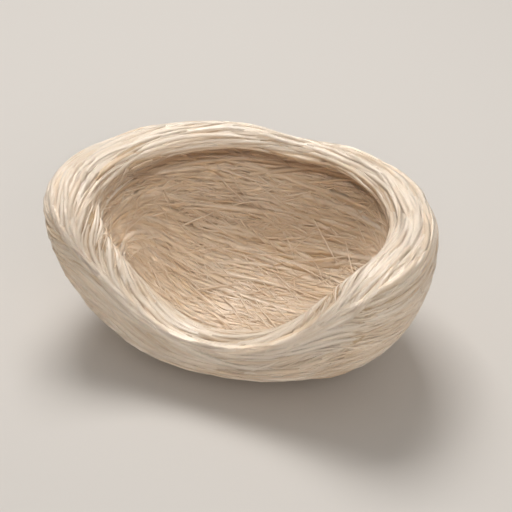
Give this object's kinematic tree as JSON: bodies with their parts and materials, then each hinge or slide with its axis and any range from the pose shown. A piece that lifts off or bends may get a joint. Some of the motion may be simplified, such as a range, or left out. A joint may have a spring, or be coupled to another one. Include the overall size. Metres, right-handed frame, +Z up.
{
  "type": "edible bird's nest",
  "caption": "Dried half-cup nest of pale swiftlet saliva strands, with a swollen lip, thick feet and a flat cut back, lying hollow side up.",
  "frame": {"origin": "middle of the bounding box, on the surface that the nest lies on", "axes": "+Z up out of the hollow, +X from foot to foot, +Y towards the lip; the side cut from the rock faces -Y"},
  "size_m": [0.074, 0.049, 0.0352],
  "materials": {
    "dried_saliva": null
  },
  "bodies": {
    "root": {"nest": "dried_saliva"}
  },
  "joints": []
}
